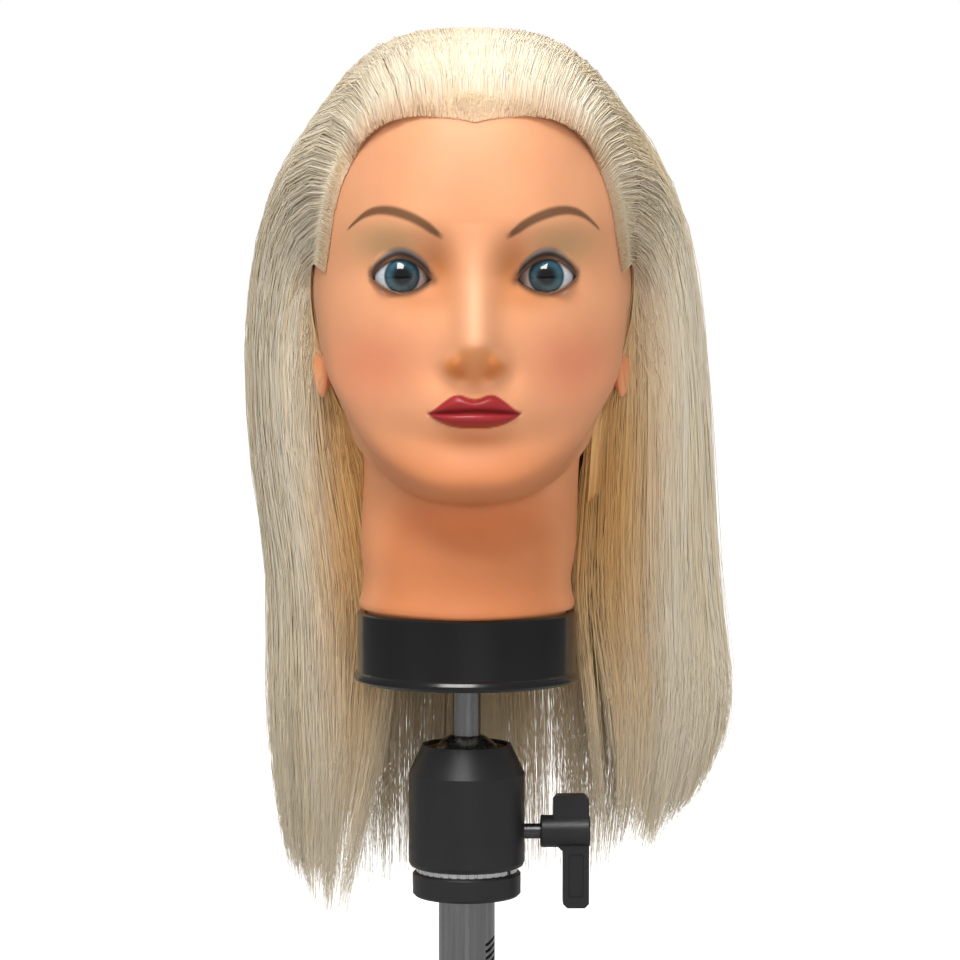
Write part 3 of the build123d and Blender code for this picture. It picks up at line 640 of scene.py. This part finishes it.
def make_ears(material):
    """Two soft ears, hollowed on the outer side inside a rolled rim."""
    rings, spokes = 40, 56
    tilt = np.linspace(0, math.pi, rings)[1:-1]
    spin = np.linspace(0, 2 * math.pi, spokes, endpoint=False)
    away, about = np.meshgrid(tilt, spin, indexing="ij")
    flare = math.radians(28)
    points, faces, total = [], [], 0
    for side in (-1, 1):
        out = np.cos(away)
        reach = np.sin(away)
        back, up = reach * np.cos(about), reach * np.sin(about)
        lobe = 1 - 0.28 * smooth(0.2, -0.9, up)
        rim = 1.2 * np.exp(-((reach - 0.92) / 0.1) ** 2)
        thick = 4.6 * out - 5.2 * np.exp(-(reach / 0.62) ** 4) * (out > 0) + rim
        thick += 1.6 * np.exp(-((reach - 0.52) / 0.14) ** 2) * (out > 0) * smooth(-0.6, 0.2, up)
        deep = 13.5 * back * lobe + 1.5 * up
        x = side * (EAR_X + thick * math.cos(flare) + deep * math.sin(flare) * 0.55)
        y = EAR_Y + deep * math.cos(flare) - thick * math.sin(flare) + 2.5 * up
        z = EAR_Z + EAR_HALF * up
        body = np.stack([x, y, z], axis=2).reshape(-1, 3)
        caps = np.array([body[:spokes].mean(axis=0), body[-spokes:].mean(axis=0)])
        points += [body, caps]
        rows = rings - 2
        mine = grid_faces(rows, spokes)
        count = rows * spokes
        mine += [((c + 1) % spokes, c, count) for c in range(spokes)]
        last = (rows - 1) * spokes
        mine += [(last + c, last + (c + 1) % spokes, count + 1) for c in range(spokes)]
        faces += [tuple(total + i for i in f) for f in mine]
        total += count + 2
    points = np.concatenate(points)
    ears = make_piece("vinyl_ears", lean(points), faces, material)
    outward(ears)
    inner = np.exp(-((points[:, 2] - 376) / 13) ** 2)
    give_colours(ears, "paint", lay(np.ones(points.shape) * SKIN, (0.74, 0.22, 0.07), 0.75 * inner))
    layer = ears.data.attributes.new("gloss", "FLOAT", "POINT")
    layer.data.foreach_set("value", np.full(len(points), PLAIN_GLOSS))
    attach(ears, "head")


# ---------------------------------------------------------------- hair
LOCK_PLACES = [0, 0.18, 0.36, 0.54, 0.70, 0.86, 1.0]
# Guide locks from the middle of the forehead round to the ear; each runs from its root to its tip.
GUIDES = [
    [(0, -80, 471), (0, -62, 496), (0, -20, 515), (0, 30, 518), (0, 80, 494),
     (0, 108, 440), (0, 117, 370), (2, 115, 290), (3, 108, 200), (4, 98, 100)],
    [(16, -78, 474), (19, -60, 496), (25, -18, 514), (34, 32, 512), (43, 82, 480),
     (48, 106, 425), (52, 112, 350), (54, 109, 270), (55, 100, 190), (50, 92, 100)],
    [(35, -71, 473), (39, -53, 490), (49, -14, 504), (63, 34, 491), (77, 74, 458),
     (86, 90, 400), (91, 94, 330), (94, 92, 260), (95, 86, 190), (80, 78, 118)],
    [(51, -56, 462), (57, -42, 473), (69, -12, 478), (86, 22, 462), (101, 50, 428),
     (109, 64, 378), (113, 70, 320), (119, 70, 255), (121, 66, 192), (97, 60, 138)],
    [(58, -46, 444), (66, -34, 451), (81, -10, 452), (96, 14, 434), (105, 30, 400),
     (110, 39, 355), (114, 44, 305), (121, 45, 245), (123, 44, 195), (105, 44, 148)],
    [(62, -41, 426), (69, -28, 429), (80, -9, 425), (89, 5, 410), (95, 14, 383),
     (98, 20, 346), (99, 25, 300), (102, 29, 245), (101, 32, 192), (89, 38, 130)],
    [(65, -33, 407), (70, -21, 411), (77, -5, 410), (84, 9, 398), (89, 20, 372),
     (90, 25, 331), (89, 27, 288), (90, 27, 240), (91, 31, 190), (85, 38, 128)],
]
# How far the hair stands off the scalp, as heights and lengths.
HAIR_LIFT = ([110, 130, 190, 253, 341, 395, 444, 480, 505, 520], [16, 19, 34, 44, 40, 33, 25, 15, 8, 6])
# How wide the hair is on the left beside the right, as heights and shares.
LEFT_WIDTH = ([110, 135, 190, 255, 320, 380, 440, 520], [0.83, 0.79, 0.715, 0.75, 0.90, 0.955, 0.975, 1.0])
LEFT_DROP = 28.0
HAIR_PIECES = 9
FIRST_SEED = 11
LOCKS = 70
STRANDS_PER_LOCK = 30
STRAND_POINTS = 13
STRAND_R = 0.22
STRAND_SIDES = 3
INNER_SHARE = 0.36
LENGTH_SPREAD = 0.055
TIP_CLOSE = 0.44
CROWDS = (0.9, 1.9)


def strand_points(place, along, depth):
    """Strands: place -1 to 1 round the head, along 0 at the root to 1 at the tip, depth 1 at the scalp."""
    controls = spline(LOCK_PLACES, np.array(GUIDES, float), np.abs(place))
    count = controls.shape[1]
    weights = spline(np.linspace(0, 1, count), np.eye(count), along.ravel()).reshape(along.shape + (count,))
    points = np.einsum("nkc,ncd->nkd", weights, controls)
    left = np.interp(points[..., 2], *LEFT_WIDTH)
    shrink = 1 - (1 - left) * smooth(0.15, 0.5, np.abs(place))[:, None]
    on_left = place[:, None] < 0
    points[..., 0] *= np.where(on_left, -shrink, 1.0)
    drop = np.where(on_left, LEFT_DROP, 0.0)
    points[..., 2] -= drop * smooth(0.7, 1.0, along) * smooth(0.2, 0.5, np.abs(place))[:, None]
    inward = np.stack([points[..., 0], points[..., 1] - 8, np.maximum(points[..., 2] - 430, 0)], axis=2)
    inward /= np.maximum(np.linalg.norm(inward, axis=2, keepdims=True), 1e-6)
    lift = np.interp(points[..., 2], *HAIR_LIFT) * smooth(0.0, 0.26, along)
    return points - inward * (lift * depth)[..., None]


def scalp_tree():
    """The plain head, to seat the hair's roots on."""
    columns = column_places(60, 60, 90.0)
    points = head_surface(columns, row_count=110)
    rows, across = points.shape[:2]
    return BVHTree.FromPolygons([Vector(p) for p in points.reshape(-1, 3)], grid_faces(rows, across))


def keep_off_scalp(points, tree, gap):
    """Move points that lie in the head out onto its surface."""
    flat = points.reshape(-1, 3)
    room = np.broadcast_to(gap, points.shape[:-1]).ravel()
    near = np.nonzero(flat[:, 2] > 250)[0]
    for i in near:
        spot = Vector(flat[i])
        found, normal, _, _ = tree.find_nearest(spot, 40.0)
        if found is None:
            continue
        if (spot - found).dot(normal) < room[i]:
            flat[i] = found + normal * room[i]
    return flat.reshape(points.shape)


def lock_strands(seed, crowd):
    """Strands gathered in locks that close towards their tips."""
    rng = np.random.default_rng(seed)
    count = LOCKS * STRANDS_PER_LOCK
    lock = np.repeat(np.arange(LOCKS), STRANDS_PER_LOCK)
    side = rng.choice([-1.0, 1.0], LOCKS) * rng.uniform(0.0, 1.0, LOCKS) ** crowd
    place = side[lock] + rng.normal(0, 0.03, count)
    place = np.clip(place, -1.0, 1.0)
    under = rng.random(LOCKS) < INNER_SHARE
    lock_depth = np.where(under, rng.uniform(0.3, 0.95, LOCKS), rng.uniform(0.0, 0.20, LOCKS))
    own_depth = np.clip(lock_depth[lock] + rng.normal(0, 0.035, count), 0, 0.97)
    steps = np.linspace(0, 1, STRAND_POINTS)
    root = np.where(rng.random(count) < 0.45, rng.uniform(0, 0.26, count) ** 2, rng.uniform(0, 0.42, count))
    tip = 1.0 - np.abs(rng.normal(0, LENGTH_SPREAD, LOCKS))[lock] - np.abs(rng.normal(0, 0.03, count))
    along = root[:, None] + (tip - root)[:, None] * steps ** 0.95
    grown = 1 - np.exp(-(along - root[:, None]) / 0.075)
    depth = own_depth[:, None] * grown + (1 - grown) * np.where(root > 0.03, 1.0, own_depth)[:, None]
    lock_mid = np.array([place[lock == k].mean() for k in range(LOCKS)])[lock]
    close = smooth(0.55, 1.0, along)
    points = strand_points(place, along, depth)
    middle = strand_points(lock_mid, along, depth)
    points += (middle - points) * (TIP_CLOSE * close)[..., None]
    phase = rng.uniform(0, 2 * math.pi, (LOCKS, 3))[lock]
    pace = rng.uniform(0.8, 1.9, (LOCKS, 3))[lock]
    sway = np.sin(along[..., None] * 2 * math.pi * pace[:, None, :] + phase[:, None, :])
    points += sway * (0.5 + 2.2 * smooth(0.35, 1.0, along))[..., None] * np.array([1.0, 0.8, 0.2])
    loose = rng.normal(0, 1, (count, 1, 3)) * (0.3 + smooth(0.15, 1.0, along) * 0.9)[..., None]
    points += loose * np.array([1.0, 1.0, 0.3])
    tone = rng.uniform(0, 1, LOCKS)[lock] * 0.6 + rng.uniform(0, 1, count) * 0.4
    return points, along, depth, tone


def strand_sweep():
    """Node tree that sweeps a small three-sided section along every line of a mesh."""
    tree = bpy.data.node_groups.new("strand_sweep", "GeometryNodeTree")
    tree.interface.new_socket("Geometry", in_out="INPUT", socket_type="NodeSocketGeometry")
    width = tree.interface.new_socket("Strand radius", in_out="INPUT", socket_type="NodeSocketFloat")
    sides = tree.interface.new_socket("Sides", in_out="INPUT", socket_type="NodeSocketInt")
    finish = tree.interface.new_socket("Finish", in_out="INPUT", socket_type="NodeSocketMaterial")
    tree.interface.new_socket("Geometry", in_out="OUTPUT", socket_type="NodeSocketGeometry")
    start = node(tree, "NodeGroupInput")
    end = node(tree, "NodeGroupOutput")
    line = node(tree, "GeometryNodeMeshToCurve")
    share = node(tree, "GeometryNodeInputNamedAttribute", data_type="FLOAT")
    share.inputs["Name"].default_value = "share"
    times = node(tree, "ShaderNodeMath", operation="MULTIPLY")
    ring = node(tree, "GeometryNodeCurvePrimitiveCircle")
    sweep = node(tree, "GeometryNodeCurveToMesh")
    sweep.inputs["Fill Caps"].default_value = True
    real = node(tree, "GeometryNodeRealizeInstances")
    paint = node(tree, "GeometryNodeSetMaterial")
    ring.inputs["Radius"].default_value = 1.0
    link = tree.links.new
    link(start.outputs["Geometry"], line.inputs["Mesh"])
    link(share.outputs["Attribute"], times.inputs[0])
    link(start.outputs["Strand radius"], times.inputs[1])
    link(times.outputs["Value"], sweep.inputs["Scale"])
    link(line.outputs["Curve"], sweep.inputs["Curve"])
    link(start.outputs["Sides"], ring.inputs["Resolution"])
    link(ring.outputs["Curve"], sweep.inputs["Profile Curve"])
    link(sweep.outputs["Mesh"], real.inputs["Geometry"])
    link(real.outputs["Geometry"], paint.inputs["Geometry"])
    link(start.outputs["Finish"], paint.inputs["Material"])
    link(paint.outputs["Geometry"], end.inputs["Geometry"])
    return tree, width.identifier, sides.identifier, finish.identifier


def hair_fibre():
    """Pale silky fibre: colour from each strand, slight streaks along it."""
    material, tree, shader = new_material("platinum_fibre")
    paint = node(tree, "ShaderNodeAttribute", attribute_name="strand_paint")
    tree.links.new(paint.outputs["Color"], shader.inputs["Base Color"])
    fine = noise(tree, object_coords(tree), 700.0, 2.0, (1, 1, 0.05))
    tree.links.new(ramp(tree, fine, (0.2, grey(0.34)), (0.8, grey(0.46))), shader.inputs["Roughness"])
    shader.inputs["Specular IOR Level"].default_value = 0.6
    through = node(tree, "ShaderNodeBsdfTranslucent")
    tree.links.new(paint.outputs["Color"], through.inputs["Color"])
    both = node(tree, "ShaderNodeMixShader")
    both.inputs["Fac"].default_value = 0.22
    tree.links.new(shader.outputs["BSDF"], both.inputs[1])
    tree.links.new(through.outputs["BSDF"], both.inputs[2])
    tree.links.new(both.outputs["Shader"], tree.nodes["Material Output"].inputs["Surface"])
    return material


CREAM = (1.0, 0.88, 0.65)
PALE = (1.0, 0.96, 0.87)
# SHADE is a painted shade colour for strands lying deeper in the hair.
SHADE = (0.98, 0.79, 0.43)
# GOLD is painted shade with warm light through the hair, near the neck.
GOLD = (0.97, 0.60, 0.19)
ROOT = (0.84, 0.52, 0.28)


def hair_paint(points, along, depth, tone):
    colour = np.ones(points.shape) * np.array(CREAM)
    colour = lay(colour, PALE, np.broadcast_to(tone[:, None] ** 1.3, along.shape) * 0.85)
    # Painted shade: strands lying deeper in the hair are darker and more golden.
    shaded = 0.6 * smooth(0.2, 0.8, depth) * (1 - tone[:, None] * 0.4) * smooth(140, 260, points[..., 2])
    colour = lay(colour, SHADE, shaded)
    reach = np.abs(points[..., 0]) * np.where(points[..., 0] < 0, 1.25, 1.0)
    inner = (1 - smooth(66, 100, reach)) * (1 - smooth(50, 80, points[..., 1]))
    # Painted shade and warm light through the hair: deeper and inner strands by the neck turn gold.
    neck_shade_glow = np.exp(-((points[..., 2] - 305) / 95) ** 2)
    neck_shade_glow *= np.maximum(smooth(0.2, 0.7, depth), inner)
    colour = lay(colour, GOLD, 0.85 * neck_shade_glow)
    return lay(colour, ROOT, 0.7 * (1 - smooth(0.0, 0.08, along)))


def strands_piece(name, points, colour, share, sweep, finish):
    """Lines through the strands' points, swept into fine closed tubes."""
    tree, width, sides, paint = sweep
    count, steps = points.shape[:2]
    mesh = bpy.data.meshes.new(name + "_lines")
    mesh.vertices.add(count * steps)
    mesh.vertices.foreach_set("co", (lean(points) * MM).ravel())
    first = (np.arange(count)[:, None] * steps + np.arange(steps - 1)).ravel()
    mesh.edges.add(len(first))
    mesh.edges.foreach_set("vertices", np.stack([first, first + 1], axis=1).ravel())
    lines = bpy.data.objects.new(name + "_lines", mesh)
    bpy.context.scene.collection.objects.link(lines)
    give_colours(lines, "strand_paint", colour.reshape(-1, 3))
    layer = mesh.attributes.new("share", "FLOAT", "POINT")
    layer.data.foreach_set("value", share.ravel())
    modifier = lines.modifiers.new("sweep", "NODES")
    modifier.node_group = tree
    modifier[width] = STRAND_R * MM
    modifier[sides] = STRAND_SIDES
    modifier[paint] = finish
    graph = bpy.context.evaluated_depsgraph_get()
    ready = lines.evaluated_get(graph)
    swept = bpy.data.meshes.new_from_object(ready, preserve_all_data_layers=True, depsgraph=graph)
    bpy.data.objects.remove(lines)
    swept.name = name
    swept.materials.clear()
    swept.materials.append(finish)
    swept.polygons.foreach_set("use_smooth", [True] * len(swept.polygons))
    piece = bpy.data.objects.new(name, swept)
    bpy.context.scene.collection.objects.link(piece)
    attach(piece, "head")
    return piece


def make_hair_base(tree, finish):
    """The body of the hair under the loose strands, one closed form."""
    across, steps = 150, 90
    place = np.linspace(-0.9, 0.9, across)
    along = np.broadcast_to(np.linspace(0.09, 0.66, steps), (across, steps))
    ridge = 0.05 * np.sin(place * 83)[:, None] * np.sin(along * 9 + place[:, None] * 31)
    edge = 1 - smooth(0.72, 0.9, np.abs(place))[:, None] * smooth(0.3, 0.5, along)
    grown = smooth(0.09, 0.24, along) * (1 - smooth(0.48, 0.66, along)) * edge
    outer = strand_points(place, along, 0.98 - (0.74 - ridge) * grown)
    outer = keep_off_scalp(outer, tree, 0.7)
    inner = strand_points(place, along, np.full(along.shape, 1.0))
    inner = keep_off_scalp(inner, tree, 0.2)
    points = np.concatenate([outer.reshape(-1, 3), inner.reshape(-1, 3)])
    faces = []
    half = across * steps
    for i in range(across - 1):
        for j in range(steps - 1):
            a, b = i * steps + j, (i + 1) * steps + j
            faces.append((a, b, b + 1, a + 1))
            faces.append((half + a, half + a + 1, half + b + 1, half + b))
    for j in range(steps - 1):
        last = (across - 1) * steps + j
        faces.append((j, j + 1, half + j + 1, half + j))
        faces.append((last, half + last, half + last + 1, last + 1))
    for i in range(across - 1):
        a, b = i * steps, (i + 1) * steps
        top = steps - 1
        faces.append((a, half + a, half + b, b))
        faces.append((a + top, b + top, half + b + top, half + a + top))
    base = make_piece("hair_body", lean(points), faces, finish)
    outward(base)
    tone = 0.5 + 0.5 * np.sin(place * 190) * np.sin(place * 53)
    # The outer face is coloured as hair near the top, the inner face as the deepest hair, in its painted
    # shade.
    colour = hair_paint(outer, along, np.full(along.shape, 0.35), tone * 0.7)
    deep = hair_paint(inner, along, np.full(along.shape, 1.0), tone * 0.2)
    give_colours(base, "strand_paint", np.concatenate([colour.reshape(-1, 3), deep.reshape(-1, 3)]))
    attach(base, "head")
    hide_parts("hair_crown", "hair_back", "hair_left", "hair_right")


def make_hair():
    tree = scalp_tree()
    finish = hair_fibre()
    make_hair_base(tree, finish)
    sweep = strand_sweep()
    for piece in range(HAIR_PIECES):
        points, along, depth, tone = lock_strands(FIRST_SEED + piece, CROWDS[piece % 2])
        points = keep_off_scalp(points, tree, 0.5 + 1.2 * smooth(0.0, 0.08, along))
        colour = hair_paint(points, along, depth, tone)
        steps = np.linspace(0, 1, STRAND_POINTS)
        share = np.broadcast_to(np.interp(steps, [0, 0.1, 0.7, 1], [0.7, 1.0, 0.9, 0.25]), along.shape)
        strands_piece(f"hair_strands_{piece + 1}", points, colour, share, sweep, finish)


# ---------------------------------------------------------------- CAD nodes' finishes
def finish_cad_nodes():
    steel = metal("satin_steel", (0.26, 0.26, 0.262), (0.40, 0.40, 0.402), 0.26, 500.0, (1, 1, 0.03))
    bright = metal("bright_steel", (0.72, 0.72, 0.73), (0.88, 0.88, 0.89), 0.14, 500.0)
    bronze = metal("turned_bronze", (0.42, 0.25, 0.08), (0.60, 0.38, 0.14), 0.30, 600.0, (1, 1, 4))
    dark_steel = metal("dark_steel", (0.10, 0.10, 0.105), (0.17, 0.17, 0.175), 0.35, 600.0)
    powder = moulded("black_powder_coat", (0.013, 0.013, 0.014), (0.020, 0.020, 0.022), 0.40, 1100.0, 0.22)
    collar = moulded("black_collar_gloss", (0.005, 0.005, 0.0055), (0.008, 0.008, 0.0085), 0.24, 500.0, 0.03,
                     coat=0.3)
    plastic = moulded("black_knob_plastic", (0.012, 0.012, 0.013), (0.020, 0.020, 0.021), 0.38, 1300.0, 0.25)
    natural = moulded("natural_socket_plastic", (0.60, 0.58, 0.52), (0.68, 0.66, 0.60), 0.45)
    chosen = {"steel": steel, "bright_steel": bright, "bronze": bronze, "screw_steel": dark_steel,
              "black_metal": powder, "black_gloss": collar, "black_plastic": plastic,
              "socket_plastic": natural}
    for part in frame["record"]["subparts"]:
        material = chosen.get(part["material_slot"])
        if material:
            mesh = frame["nodes"][part["node"]].data
            mesh.materials.clear()
            mesh.materials.append(material)


# ---------------------------------------------------------------- stage, lights and camera
def seen_white(tree, hidden, target):
    """A level that is full to the camera and lower for the light it throws."""
    seen = node(tree, "ShaderNodeLightPath").outputs["Is Camera Ray"]
    level = node(tree, "ShaderNodeMapRange")
    level.inputs["To Min"].default_value = hidden
    level.inputs["To Max"].default_value = 1.0
    tree.links.new(seen, level.inputs["Value"])
    tree.links.new(level.outputs["Result"], target)


FLOOR_HALF = 30000


def make_stage():
    material, tree, shader = new_material("stage_white")
    coords = object_coords(tree)
    pale = ramp(tree, noise(tree, coords, 2.0), (0.3, grey(0.30)), (0.7, grey(0.32)))
    tree.links.new(pale, shader.inputs["Base Color"])
    shader.inputs["Roughness"].default_value = 0.9
    shader.inputs["Emission Color"].default_value = (1, 1, 1, 1)
    seen_white(tree, 0.0, shader.inputs["Emission Strength"])
    points = [(-FLOOR_HALF, -FLOOR_HALF, 0), (FLOOR_HALF, -FLOOR_HALF, 0),
              (FLOOR_HALF, FLOOR_HALF, 0), (-FLOOR_HALF, FLOOR_HALF, 0)]
    floor = make_piece("stage_floor", points, [(0, 1, 2, 3)], material)


def area_light(name, place, target, size, power, glint=True, seen=True):
    data = bpy.data.lights.new(name, "AREA")
    data.shape = "RECTANGLE"
    data.size, data.size_y = size
    data.energy = power
    light = bpy.data.objects.new(name, data)
    light.location = place
    light.visible_glossy = glint
    light.visible_camera = seen
    aim = np.array(target) - np.array(place)
    light.rotation_euler = Vector(aim).to_track_quat("-Z", "Y").to_euler()
    bpy.context.scene.collection.objects.link(light)


def make_lights():
    face = (0, 0, 0.40)
    area_light("key_soft_box", (-0.25, -1.05, 1.75), face, (0.9, 0.9), 27)
    area_light("front_fill", (0.3, -2.0, 0.42), face, (1.0, 1.0), 13, glint=False)
    area_light("left_fill", (-1.45, -0.95, 0.5), face, (0.8, 0.8), 6, glint=False)
    area_light("right_fill", (1.5, -0.7, 0.45), face, (0.8, 0.8), 4.5, glint=False)
    area_light("hair_light", (0.2, 0.5, 1.7), (0, 0, 0.45), (0.9, 0.9), 15)
    area_light("back_glow", (0, 1.3, 0.30), (0, 0, 0.20), (0.9, 0.5), 9, glint=False, seen=False)
    world = bpy.data.worlds.new("pale_room")
    world.use_nodes = True
    back = world.node_tree.nodes["Background"]
    back.inputs["Color"].default_value = (1, 1, 1, 1)
    seen_white(world.node_tree, 0.24, back.inputs["Strength"])
    bpy.context.scene.world = world


def make_camera():
    data = bpy.data.cameras.new("camera")
    data.lens = 122.6
    data.sensor_width = 36.0
    camera = bpy.data.objects.new("camera", data)
    camera.location = (-0.0148, -1.4992, 0.402)
    camera.rotation_euler = (math.radians(90 - 3.43), 0, math.radians(-0.8))
    bpy.context.scene.collection.objects.link(camera)
    bpy.context.scene.camera = camera
    bpy.context.scene.view_settings.view_transform = "Standard"


make_camera()
make_stage()
make_lights()
vinyl_head = make_head()
make_ears(vinyl_head.data.materials[0])
make_core()
make_hair()
eye_material = eye_gloss()
make_eye(1, "left_eye", eye_material)
make_eye(-1, "right_eye", eye_material)
finish_cad_nodes()
